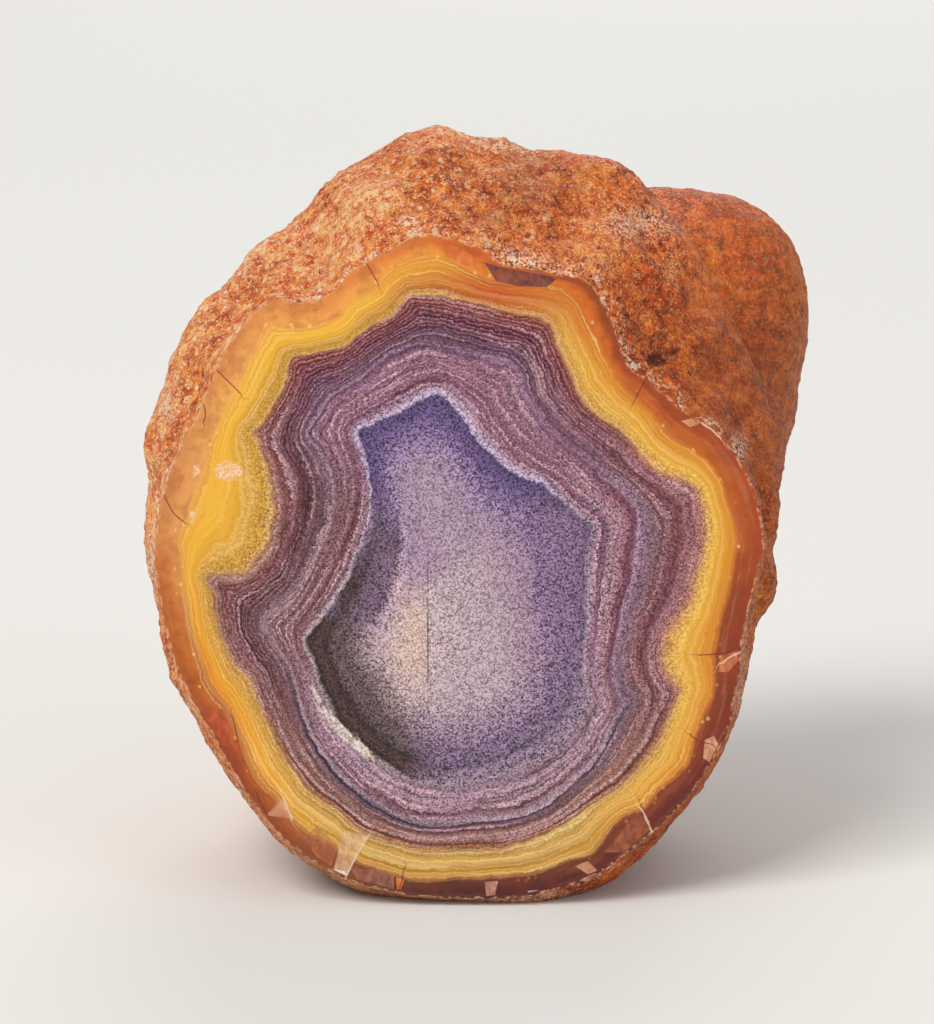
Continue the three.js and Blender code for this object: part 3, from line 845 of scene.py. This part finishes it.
def build_rind():
    material, bench, shader = new_material("iron_stained_rind")
    place = bench.measure("face_place", "Vector")
    right, up, deep = bench.split(place)
    dirt_and_shade, gold_and_highlight, frost_and_highlight, pit_shade = bench.measures("weather_and_light")
    tone, gap, clump = sprinkle(bench, place, RIND_GRAINS_PER_MM)
    broad = bench.noise(place, 0.09, 2.0, 0.6)
    patchy = bench.noise(place, 0.5, 4.0, 0.65)
    stain = broad * 0.5 + patchy * 0.5
    to_right = bench.rise(right + up * -0.25, -34.0, 26.0)
    # Paler on the left and deeper on the right: partly stain, partly painted light and painted shade.
    colour = bench.mix(to_right, bench.ramp(stain, RIND_PALE_LIT), bench.ramp(stain, RIND_DEEP_SHADED))
    grain = bench.ramp(tone, [(0.1, 0.12), (0.35, 0.42), (0.6, 0.56), (0.85, 0.85)], grey)
    mottle = bench.ramp(bench.noise(place, 0.8, 3.0, 0.7), [(0.34, 0.12), (0.5, 0.5), (0.66, 0.88)], grey)
    knob = bench.rise(right, 20.0, 25.0) * bench.rise(up, 0.0, 6.0)
    colour = bench.mix(0.9, colour, mottle, "OVERLAY")
    colour = bench.mix(0.72 + knob * -0.3, colour, grain, "OVERLAY")
    colour = bench.mix(knob * 0.22, colour, seen(230, 142, 92))
    smear = bench.rise(bench.noise(place, 0.42, 3.0, 0.7), 0.56, 0.68)
    colour = bench.mix(smear * 0.5, colour, seen(160, 64, 28))
    clots = bench.rise(bench.noise(place, 1.4, 3.0, 0.6), 0.57, 0.64) * (0.75 + to_right * -0.6)
    colour = bench.mix(clots, colour, seen(252, 210, 168))
    # Painted glints: single grains painted bright peach or white where the crystals would flash.
    fleck_glints = bench.rise(tone, 0.72, 0.78) * bench.rise(clump, 0.40, 0.56)
    fleck_glint_colour = bench.mix(to_right, seen(255, 220, 170), seen(255, 176, 104))
    colour = bench.mix(fleck_glints * (0.85 + knob * -0.45), colour, fleck_glint_colour)
    from_lump, lump_chance = bench.cells(place, LUMPS_PER_MM)
    lump = bench.inverse(bench.rise(from_lump + (bench.noise(place, 4.0, 2.0, 0.6) - 0.5) * 0.7, 0.38, 0.5))
    lump = lump * bench.rise(lump_chance, 0.84, 0.88) * bench.rise(patchy, 0.42, 0.56)
    colour = bench.mix(lump * (0.9 + to_right * -0.85), colour, seen(255, 226, 188))
    # Golden streaks, partly painted highlight on the upper right.
    colour = bench.mix(gold_and_highlight * bench.rise(tone, 0.3, 0.6), colour, seen(246, 196, 134))
    shadow_side = bench.rise(right + up * -0.9, 2.0, 20.0)
    colour = bench.mix(shadow_side * 0.75, colour, bench.mix(1.0, colour, grey(0.62), "MULTIPLY"))
    # Grey-brown dirt in the valley, and dark red-brown painted shade on the right.
    dirt_and_shade_mask = dirt_and_shade * bench.rise(clump, 0.34, 0.6)
    colour = bench.mix(dirt_and_shade_mask * 0.8, colour, bench.mix(to_right, seen(150, 100, 68), seen(96, 42, 24)))
    fringe = bench.inverse(bench.rise(deep, 0.1, 1.4)) * bench.rise(bench.noise(place, 0.7, 2.0, 0.6), 0.45, 0.6)
    frost_and_highlight = bench.sum("MAXIMUM", frost_and_highlight, fringe * 0.8)
    # White frost, partly painted highlight on the upper right.
    white = frost_and_highlight * bench.rise(tone + clump * 0.6, 0.70, 0.92)
    colour = bench.mix(white * 0.9, colour, seen(255, 230, 200))
    # Painted shade in the pits, with ragged edges.
    ragged_pit_shade = pit_shade + (bench.noise(place, 2.2, 3.0, 0.75) - 0.5) * 1.6
    colour = bench.mix(bench.rise(ragged_pit_shade, 0.46, 0.72) * 0.85, colour, seen(66, 30, 20))
    colour = bench.mix(bench.inverse(bench.rise(tone, 0.18, 0.26)) * 0.3, colour, seen(112, 46, 20))
    bench.feed(shader.inputs["Base Color"], colour)
    bench.feed(shader.inputs["Roughness"], 0.36 + bench.inverse(tone) * 0.4)
    height = tone * 0.5 + bench.inverse(gap) * 0.35 + patchy * 0.8
    bench.feed(shader.inputs["Normal"], bench.bump(1.0, CRUMB_HEIGHT, height))
    shader.inputs["IOR"].default_value = QUARTZ_IOR
    shader.inputs["Specular IOR Level"].default_value = 0.25
    return material


rind = build_rind()
print("rind nodes:", len(rind.node_tree.nodes))

# %% [markdown]
# ## Face: bands of agate
# The band number does the painting. A little noise bends it, so that bands ripple as they do in stone,
# and each grain of sugar shifts it a bit more, so that one coat frays into the next. Colour ramps then
# turn it into coats. The stone's four sides differ, so the yellow and the purple coats have one ramp
# for each side, and the glassy rim has a ramp that runs round it. Fine lines are noise along the band.

# %% Colours of the glassy rim, round the face from the bottom by the left
RIM_INSIDE = [
    (0.0, 96, 56, 44), (0.05, 126, 74, 50), (0.075, 166, 100, 66), (0.10, 182, 100, 48),
    (0.135, 188, 92, 36), (0.17, 196, 106, 48), (0.22, 208, 126, 64), (0.27, 234, 162, 94),
    (0.34, 240, 172, 96), (0.45, 244, 164, 80), (0.52, 234, 138, 52), (0.58, 212, 108, 44),
    (0.66, 194, 102, 42), (0.72, 190, 98, 40), (0.78, 150, 76, 34), (0.86, 136, 68, 42), (1.0, 96, 56, 44),
]
RIM_OUTSIDE = [
    (0.0, 78, 44, 30), (0.05, 108, 62, 38), (0.075, 140, 82, 52), (0.10, 152, 80, 36),
    (0.135, 156, 72, 26), (0.17, 170, 88, 38), (0.22, 188, 104, 52), (0.27, 212, 138, 80),
    (0.34, 226, 152, 88), (0.45, 228, 140, 74), (0.52, 202, 98, 44), (0.58, 152, 74, 36),
    (0.66, 168, 80, 32), (0.72, 176, 82, 30), (0.78, 154, 70, 24), (0.86, 112, 54, 28), (1.0, 78, 44, 30),
]

# %% Colours of the yellow coats, from the rim inward
YELLOW_LEFT = [
    (0.0, 240, 170, 76), (0.16, 243, 182, 72), (0.3, 243, 183, 62), (0.42, 238, 175, 60), (0.55, 226, 168, 62),
    (0.59, 232, 182, 94), (0.63, 218, 164, 72), (0.68, 226, 176, 100), (0.72, 204, 154, 68), (0.86, 198, 148, 62),
    (0.91, 208, 160, 90), (0.955, 206, 164, 108), (1.0, 164, 118, 92),
]
YELLOW_RIGHT = [
    (0.0, 206, 120, 50), (0.09, 216, 134, 54), (0.18, 222, 144, 56), (0.27, 216, 144, 50), (0.37, 228, 158, 60),
    (0.45, 234, 174, 84), (0.54, 224, 162, 58), (0.65, 236, 184, 84), (0.74, 228, 174, 84), (0.82, 216, 164, 76),
    (0.91, 212, 164, 102), (1.0, 186, 132, 94),
]
ORANGE_TOP = [
    (0.0, 212, 104, 40), (0.12, 176, 76, 32), (0.2, 194, 90, 38), (0.3, 206, 94, 40), (0.44, 190, 78, 32),
    (0.53, 222, 130, 84), (0.58, 206, 104, 54), (0.70, 198, 96, 48), (0.79, 180, 84, 38), (0.86, 226, 160, 112),
    (0.94, 190, 128, 84), (1.0, 140, 70, 48),
]
YELLOW_BOTTOM = [
    (0.0, 160, 104, 62), (0.09, 196, 138, 76), (0.19, 214, 162, 82), (0.28, 190, 138, 54), (0.38, 192, 144, 72),
    (0.47, 208, 166, 102), (0.56, 232, 190, 112), (0.66, 212, 168, 92), (0.76, 184, 136, 66), (0.85, 214, 176, 126),
    (0.94, 156, 110, 74), (1.0, 146, 98, 68),
]
PEACH_LOWER_LEFT = [
    (0.0, 180, 104, 66), (0.1, 160, 90, 72), (0.25, 222, 130, 52), (0.42, 234, 152, 46),
    (0.6, 236, 166, 56), (0.8, 224, 168, 84), (0.94, 178, 112, 66), (1.0, 104, 52, 38),
]

# %% Colours from maroon to the core, from outside inward
PURPLE_LEFT = [
    (0.0, 168, 118, 92), (0.03, 158, 114, 96), (0.08, 138, 92, 88), (0.12, 118, 68, 70), (0.17, 136, 92, 96),
    (0.21, 108, 68, 74), (0.265, 78, 44, 50), (0.30, 84, 50, 56), (0.35, 116, 82, 90), (0.42, 100, 72, 80),
    (0.47, 126, 96, 104), (0.505, 156, 126, 134), (0.53, 158, 128, 132), (0.56, 122, 88, 90), (0.64, 132, 96, 100),
    (0.68, 118, 82, 88), (0.74, 144, 108, 114), (0.79, 130, 92, 98), (0.825, 104, 64, 70), (0.86, 126, 88, 92),
    (0.90, 142, 102, 108), (0.94, 132, 98, 104), (0.972, 156, 128, 138), (1.0, 190, 168, 182),
]
PURPLE_RIGHT = [
    (0.0, 184, 128, 96), (0.05, 174, 118, 110), (0.09, 134, 80, 84), (0.13, 156, 108, 114), (0.19, 118, 70, 78),
    (0.24, 122, 76, 82), (0.28, 136, 92, 98), (0.32, 120, 78, 86), (0.37, 136, 102, 112), (0.40, 146, 112, 126),
    (0.43, 128, 96, 112), (0.47, 158, 126, 144), (0.50, 148, 114, 136), (0.53, 106, 66, 86), (0.57, 120, 74, 90),
    (0.62, 142, 94, 106), (0.66, 158, 116, 128), (0.73, 160, 120, 132), (0.775, 174, 138, 152), (0.82, 136, 98, 116),
    (0.88, 128, 88, 108), (0.93, 152, 118, 136), (0.966, 176, 150, 168), (1.0, 142, 120, 140),
]
PURPLE_TOP = [
    (0.0, 150, 84, 58), (0.03, 126, 58, 50), (0.06, 158, 92, 88), (0.09, 114, 50, 58), (0.15, 124, 66, 78),
    (0.19, 98, 50, 66), (0.23, 90, 46, 66), (0.27, 124, 78, 98), (0.33, 90, 56, 78), (0.38, 116, 82, 104),
    (0.42, 82, 52, 76), (0.47, 124, 92, 116), (0.50, 152, 122, 146), (0.52, 110, 74, 98), (0.56, 134, 94, 116),
    (0.60, 154, 114, 134), (0.66, 142, 100, 118), (0.72, 150, 108, 124), (0.80, 130, 88, 106), (0.87, 136, 94, 114),
    (0.93, 158, 122, 144), (0.965, 182, 158, 180), (1.0, 190, 168, 194),
]
PURPLE_BOTTOM = [
    (0.0, 158, 106, 76), (0.03, 160, 106, 80), (0.08, 108, 58, 50), (0.135, 180, 138, 126), (0.19, 136, 94, 88),
    (0.25, 158, 116, 106), (0.305, 132, 92, 88), (0.36, 124, 90, 94), (0.42, 124, 96, 106), (0.46, 66, 46, 60),
    (0.48, 68, 48, 62), (0.515, 168, 148, 162), (0.56, 146, 112, 122), (0.64, 124, 88, 100), (0.68, 168, 134, 146),
    (0.72, 152, 120, 132), (0.76, 164, 130, 144), (0.82, 176, 144, 160), (0.88, 162, 130, 144),
    (0.92, 148, 116, 130), (0.96, 150, 124, 138), (1.0, 138, 116, 132),
]
CORE_LEFT = [
    (0.0, 180, 158, 176), (0.025, 140, 118, 140), (0.12, 108, 88, 108), (0.26, 114, 92, 116), (0.34, 112, 90, 116),
    (0.39, 96, 74, 100), (0.44, 108, 86, 112), (0.49, 164, 140, 166), (0.515, 176, 152, 178), (0.54, 156, 130, 156),
    (0.60, 172, 142, 168), (0.66, 166, 136, 160), (0.8, 176, 150, 166), (1.0, 184, 162, 172),
]
CORE_LOWER_LEFT = [
    (0.0, 168, 150, 144), (0.02, 118, 100, 96), (0.035, 46, 32, 30), (0.055, 76, 58, 56), (0.10, 84, 66, 66),
    (0.15, 70, 54, 54), (0.20, 98, 82, 84), (0.24, 106, 90, 92), (0.27, 92, 76, 80), (0.33, 116, 98, 102),
    (0.39, 136, 116, 120), (0.46, 160, 138, 144), (0.53, 178, 154, 158), (0.6, 202, 176, 174), (1.0, 208, 180, 172),
]
CORE_BOTTOM = [
    (0.0, 156, 134, 148), (0.02, 154, 132, 148), (0.04, 136, 114, 132), (0.085, 142, 122, 142), (0.13, 114, 96, 118),
    (0.18, 122, 104, 128), (0.22, 132, 112, 137), (0.26, 124, 102, 127), (0.31, 140, 116, 140), (0.36, 150, 125, 148),
    (0.45, 154, 130, 149), (0.51, 172, 149, 162), (0.6, 184, 164, 173), (1.0, 190, 170, 176),
]
CORE_RIGHT = [
    (0.0, 150, 130, 146), (0.02, 110, 90, 112), (0.05, 118, 94, 120), (0.15, 134, 108, 136), (0.22, 126, 102, 130),
    (0.30, 134, 110, 138), (0.42, 132, 106, 138), (0.52, 156, 130, 154), (0.7, 178, 154, 166), (1.0, 194, 174, 178),
]
CORE_TOP = [
    (0.0, 180, 164, 194), (0.02, 92, 76, 112), (0.12, 100, 82, 120), (0.26, 124, 102, 140), (0.42, 150, 126, 158),
    (0.6, 166, 142, 162), (1.0, 184, 162, 170),
]
print("purple stops:", len(PURPLE_LEFT), len(PURPLE_RIGHT), len(PURPLE_TOP), len(PURPLE_BOTTOM))

# %% Face material: measures and directions
FACE_GRAINS_PER_MM = 7.2
LINES_PER_BAND, FOOT_LINES_PER_BAND = 21.0, 10.0
SLOW_BEATS, QUICK_BEATS = 8.5, 12.0
HAIR_SIDES, HAIR_REACH, HAIR_DARK = (-3.97, -3.85), (-19.0, -3.0), (-16.5, -9.5)
POLISH_DEPTH = 0.00005

agate, bench, shader = new_material("polished_agate")
place = bench.measure("face_place", "Vector")
right, up, _ = bench.split(place)
flat = bench.scaled(place, (1.0, 1.0, 0.0))
peach, mauve, grey_edge, speckled = bench.measures("core_patches")
orange_top, lower_left, ridge, wide_mauve = bench.measures("side_patches")

from_right, from_up = right + 1.0, up + 5.0
square = from_right * from_right + from_up * from_up
reach = bench.sum("SQRT", square) + 0.01
upward = bench.sum("DIVIDE", from_up, reach)
rightward = bench.sum("DIVIDE", from_right, reach)
on_right = bench.rise(rightward, -0.25, 0.4)
on_top = bench.rise(upward, 0.35, 0.8)
on_bottom = bench.inverse(bench.rise(upward, -0.85, -0.4))
at_foot = bench.inverse(bench.rise(upward, -0.97, -0.74))


def centred(value):
    """Noise from about -0.5 to 0.5 instead of 0 to 1."""
    return value - 0.5


def along_bands(value, per_band, drift):
    """A place for noise that changes fast across the bands and slowly along them."""
    inputs = {0: value * per_band, 1: right * drift, 2: up * drift}
    return bench.out(bench.add("ShaderNodeCombineXYZ", inputs))


def coats(share, first, *others):
    """A ramp of colours across the bands, and over it the ramps of the other sides, each in its own mask."""
    colour = bench.ramp(share, first)
    for mask, stops in others:
        colour = bench.mix(mask, colour, bench.ramp(share, stops))
    return colour


# %% Bend the bands and fray them by the grain
ripple = centred(bench.noise(flat, 0.55, 3.0, 0.6))
shiver = centred(bench.noise(flat, 2.6, 2.0, 0.6))
raw_band = bench.measure("band")
bent = raw_band + ripple * 0.2 + shiver * 0.10
tone, _, clump = sprinkle(bench, flat, FACE_GRAINS_PER_MM)
grainy = bench.rise(bench.sum("ABSOLUTE", rightward), 0.7, 0.93)
grainy = grainy * bench.sum("MAXIMUM", on_right, bench.rise(up, -7.5, -4.5))
fray = 0.02 + grainy * 0.035
fray = bench.rise(bent, 1.35, 2.05) * fray + 0.012
fray = fray + bench.rise(bent, 3.7, 4.0) * 0.02
band = bent + centred(tone) * fray

# %% Paint the glassy rim
turn = bench.sum("ARCTAN2", from_right, from_up) * (0.5 / math.pi) + 0.5
turn = turn + centred(bench.noise(flat, 0.35, 3.0, 0.6)) * 0.10
rim_depth = bent + centred(bench.noise(flat, 0.8, 3.0, 0.6)) * 0.6
glassy = coats(turn, RIM_OUTSIDE, (bench.rise(rim_depth, 0.25, 0.85), RIM_INSIDE))
streak = bench.rise(bench.noise(along_bands(bent, 4.0, 0.12), 1.0, 3.0, 0.6), 0.5, 0.66)
glassy = bench.mix(streak * (0.3 + on_bottom * -0.2), glassy, seen(202, 130, 96))
cloud = bench.noise(flat, 0.45, 3.0, 0.62)
dim = bench.inverse(bench.rise(cloud, 0.36, 0.56))
glassy = bench.mix(dim * 0.3, glassy, seen(140, 58, 28))
lace = bench.inverse(bench.rise(raw_band, 0.02, 0.12)) * bench.rise(bench.noise(flat, 1.3, 3.0, 0.7), 0.46, 0.6)
glassy = bench.mix(lace * 0.6, glassy, seen(240, 190, 138))

# %% Paint the coats from yellow to the core
yellow = coats(band - 1.0, YELLOW_LEFT, (on_right, YELLOW_RIGHT), (lower_left * 0.85, PEACH_LOWER_LEFT),
               (at_foot, YELLOW_BOTTOM), (orange_top, ORANGE_TOP))
purple = coats((band - 2.0) * 0.5, PURPLE_LEFT, (on_right, PURPLE_RIGHT), (on_top, PURPLE_TOP),
               (on_bottom, PURPLE_BOTTOM))
core = coats((band - 4.0) * 0.5, CORE_LEFT, (on_right, CORE_RIGHT), (on_top, CORE_TOP), (on_bottom, CORE_BOTTOM),
             (grey_edge, CORE_LOWER_LEFT))

# %% Draw the fine lines
fine = bench.noise(along_bands(band, LINES_PER_BAND, 0.07), 1.0, 3.0, 0.6)
fewer = bench.noise(along_bands(band, FOOT_LINES_PER_BAND, 0.07), 1.0, 2.0, 0.6)
fine = fine * bench.inverse(on_bottom) + fewer * on_bottom
light_line = bench.rise(fine, 0.56, 0.62)
dark_line = bench.inverse(bench.rise(fine, 0.38, 0.44))
strength = 0.18 + bench.sum("ABSOLUTE", upward) * 0.3 + lower_left * 0.25
yellow = bench.mix(light_line * strength, yellow, seen(250, 216, 136))
yellow = bench.mix(dark_line * strength * 0.7, yellow, seen(172, 104, 42))
drift = bench.noise(flat, 0.3, 2.0, 0.5) * 9.0
beat = bench.sum("SINE", band * (2 * math.pi * SLOW_BEATS) + drift)
thin_beat = bench.rise(beat, 0.72, 1.0)
yellow = bench.mix(thin_beat * (on_bottom * 0.4 + 0.12), yellow, seen(246, 210, 136))
crisp = bench.inverse(grainy)
inner_mauve = bench.rise(band, 3.0, 3.3)
purple = bench.mix(light_line * (0.55 + inner_mauve * 0.15), purple, seen(210, 172, 180))
purple = bench.mix(dark_line * (0.55 + inner_mauve * 0.1), purple, seen(72, 36, 48))
quick_beat = bench.sum("SINE", band * (2 * math.pi * QUICK_BEATS) + drift)
lined = bench.inverse(bench.rise(band, 2.5, 3.1)) * (0.2 + crisp * 0.32)
lined = lined * bench.inverse(on_bottom)
purple = bench.mix(bench.rise(quick_beat, 0.5, 0.95) * lined, purple, seen(194, 142, 140))
purple = bench.mix(bench.inverse(bench.rise(quick_beat, -0.95, -0.5)) * lined, purple, seen(78, 36, 44))

# %% Grain, salt and pepper
pepper = bench.ramp(tone, [(0.20, 0.0), (0.40, 0.32), (0.56, 0.64), (0.74, 1.0)], grey)
outside_core = bench.inverse(bench.rise(band, 3.8, 3.92))
purple = bench.mix(wide_mauve * outside_core * 0.35, purple, seen(140, 98, 112))
grain_share = 0.6 + grainy * 0.14 + inner_mauve * 0.14
purple = bench.mix(grain_share, purple, pepper, "OVERLAY")
thin_brown = bench.rise(quick_beat, 0.55, 0.95) * bench.rise(band, 1.4, 1.65) * crisp
yellow = bench.mix(thin_brown * 0.4, yellow, seen(156, 100, 48))
olive_grain = bench.rise(band, 1.45, 1.9) * (0.3 + grainy * 0.3)
yellow = bench.mix(olive_grain, yellow, bench.mix(1.0, yellow, pepper, "OVERLAY"))

# %% The core's own patches
smooth_heart = bench.rise(band, 4.7, 5.3)
core = bench.mix(mauve * 0.5, core, seen(160, 126, 150))
core = bench.mix(peach * 0.85, core, seen(218, 186, 170))
core = bench.mix(1.0 + smooth_heart * -0.5, core, pepper, "OVERLAY")
hair = bench.within(right, *HAIR_SIDES, 0.02) * bench.within(up, *HAIR_REACH, 1.5)
hair = hair * (0.35 + bench.within(up, *HAIR_DARK, 1.5) * 0.55)
right_of_hair = bench.rise(right, -3.95, -3.85)
core = bench.mix(right_of_hair * peach * 0.9, core, bench.mix(0.9, seen(190, 170, 178), pepper, "OVERLAY"))
core = bench.mix(hair, core, seen(84, 62, 58))
speck = bench.inverse(bench.rise(tone, 0.22, 0.32))
specked = bench.sum("MAXIMUM", speckled, smooth_heart * 0.45)
core = bench.mix(speck * specked * 0.95, core, seen(92, 62, 62))

# %% Put the coats together
colour = bench.mix(bench.rise(bent, 0.9, 1.12), glassy, yellow)
colour = bench.mix(bench.rise(band, 1.98, 2.02), colour, purple)
colour = bench.mix(bench.rise(band, 3.97, 4.03), colour, core)
ridge_mask = bench.rise(ridge + centred(bench.noise(flat, 1.6, 4.0, 0.7)) * 0.9, 0.42, 0.62)
pale_ridge = bench.ramp(clump, [(0.3, 172, 150, 144), (0.5, 214, 198, 190), (0.7, 236, 226, 222)])
pale_ridge = bench.mix(0.6, pale_ridge, pepper, "OVERLAY")
inclusion = bench.ramp(tone, [(0.3, 236, 172, 104), (0.5, 244, 200, 150), (0.75, 250, 222, 190)])
pale_ridge = bench.mix(bench.rise(band, 1.9, 2.1), inclusion, pale_ridge)
colour = bench.mix(ridge_mask * 0.9, colour, pale_ridge)
from_bead, bead_chance = bench.cells(flat, 1.1)
bead = bench.inverse(bench.rise(from_bead, 0.14, 0.3)) * bench.within(bent, 0.74, 1.06, 0.08)
bead = bead * bench.rise(bead_chance, 0.45, 0.5)
colour = bench.mix(bead * (0.6 + on_bottom * -0.45), colour, seen(252, 206, 128))

# %% Chips, cracks and glints
chip = bench.add("ShaderNodeAttribute", attribute_name="chip")
facet = bench.noise(bench.scaled(flat, (1.0, 0.5, 1.0)), 1.6, 4.0, 0.6)
facet_tone = bench.ramp(facet, [(0.3, 0.2), (0.5, 0.5), (0.68, 0.85)], grey)
chipped = bench.mix(0.9, chip.outputs["Color"], facet_tone, "OVERLAY")
see_through = 0.7 + bench.rise(cloud, 0.35, 0.6) * 0.3
colour = bench.mix(chip.outputs["Alpha"] * see_through, colour, chipped)


def thin_line(name, half_width, ragged):
    """A mask for the lines stored under a name, with a ragged edge."""
    far, near, _ = bench.split(bench.measure(name, "Vector"))
    frayed = bench.sum("ABSOLUTE", far) + centred(bench.noise(flat, 3.0, 3.0, 0.7)) * ragged
    return bench.inverse(bench.rise(frayed, half_width * 0.6, half_width * 1.5)) * near


colour = bench.mix(thin_line("crack_marks", 0.07, 0.1) * 0.75, colour, seen(132, 52, 26))
glint = thin_line("glint_marks", 0.08, 0.25)
colour = bench.mix(glint * 0.7, colour, seen(240, 212, 180))

# %% Polish
bench.feed(shader.inputs["Base Color"], colour)
bench.feed(shader.inputs["Roughness"], 0.18 + clump * 0.12)
shader.inputs["IOR"].default_value = QUARTZ_IOR
shader.inputs["Coat Weight"].default_value = 0.2
shader.inputs["Coat Roughness"].default_value = 0.06
relief = tone + glint * 2.0
bench.feed(shader.inputs["Normal"], bench.bump(0.12, POLISH_DEPTH, relief))
print("face nodes:", len(agate.node_tree.nodes))

# %% Finish the stone
stone_mesh.materials.append(rind)
stone_mesh.materials.append(agate)
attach(agate_stone, "root")
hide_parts("agate")
print("stone rides on root, box mm:", [round(d / MM, 1) for d in agate_stone.dimensions])

# %% [markdown]
# ## Floor, light and camera
# The stone stands on a plain pale floor that is wide enough to fill the view. One large soft light from
# the upper left models the lumps, a weaker one from the right opens the shadows, and neither stands
# where the polish would throw it back into the lens. The camera looks straight at the face.

# %% Floor
FLOOR_SIZE = 6.0
FLOOR_COLOUR = (226, 224, 220)
FLOOR_ROUGHNESS = 0.9

floor_mesh = bpy.data.meshes.new("floor")
half = FLOOR_SIZE / 2
floor_mesh.from_pydata([(-half, -half, 0), (half, -half, 0), (half, half, 0), (-half, half, 0)], [], [(0, 1, 2, 3)])
floor = bpy.data.objects.new("floor", floor_mesh)
bpy.context.scene.collection.objects.link(floor)
floor_material = bpy.data.materials.new("pale_floor")
floor_material.use_nodes = True
floor_shader = floor_material.node_tree.nodes["Principled BSDF"]
floor_shader.inputs["Base Color"].default_value = tint(*FLOOR_COLOUR)
floor_shader.inputs["Roughness"].default_value = FLOOR_ROUGHNESS
floor_mesh.materials.append(floor_material)

# %% Light
STONE_MIDDLE = Vector((0.0, 0.0, 0.04))
ROOM_LEVEL = 0.44


def soft_light(name, place, size, power, colour):
    """A square lamp that looks at the stone."""
    lamp = bpy.data.lights.new(name, "AREA")
    lamp.size = size
    lamp.energy = power
    lamp.color = colour
    holder = bpy.data.objects.new(name, lamp)
    holder.location = place
    holder.rotation_euler = (STONE_MIDDLE - Vector(place)).to_track_quat("-Z", "Y").to_euler()
    bpy.context.scene.collection.objects.link(holder)


soft_light("key", (-0.9, -0.9, 1.5), 1.0, 26.5, (1.0, 0.99, 0.97))
soft_light("fill", (1.5, -1.1, 0.7), 1.2, 6.4, (1.0, 1.0, 1.0))
soft_light("back", (0.2, 1.6, 1.2), 1.2, 12.0, (1.0, 1.0, 1.0))
world = bpy.data.worlds.new("studio")
world.use_nodes = True
world.node_tree.nodes["Background"].inputs[0].default_value = (1.0, 1.0, 1.0, 1.0)
world.node_tree.nodes["Background"].inputs[1].default_value = ROOM_LEVEL
bpy.context.scene.world = world
bpy.context.scene.view_settings.view_transform = "Standard"

# %% Camera
LENS_MM = 135.0
SENSOR_MM = 36.0
lens = bpy.data.cameras.new("camera")
lens.lens = LENS_MM
lens.sensor_width = SENSOR_MM
camera = bpy.data.objects.new("camera", lens)
camera.location = FACE_MIDDLE + FACE_OUT * VIEW_DISTANCE_MM * MM
camera.rotation_euler = (-FACE_OUT).to_track_quat("-Z", "Y").to_euler()
bpy.context.scene.collection.objects.link(camera)
bpy.context.scene.camera = camera
print("camera at", tuple(round(c, 3) for c in camera.location))
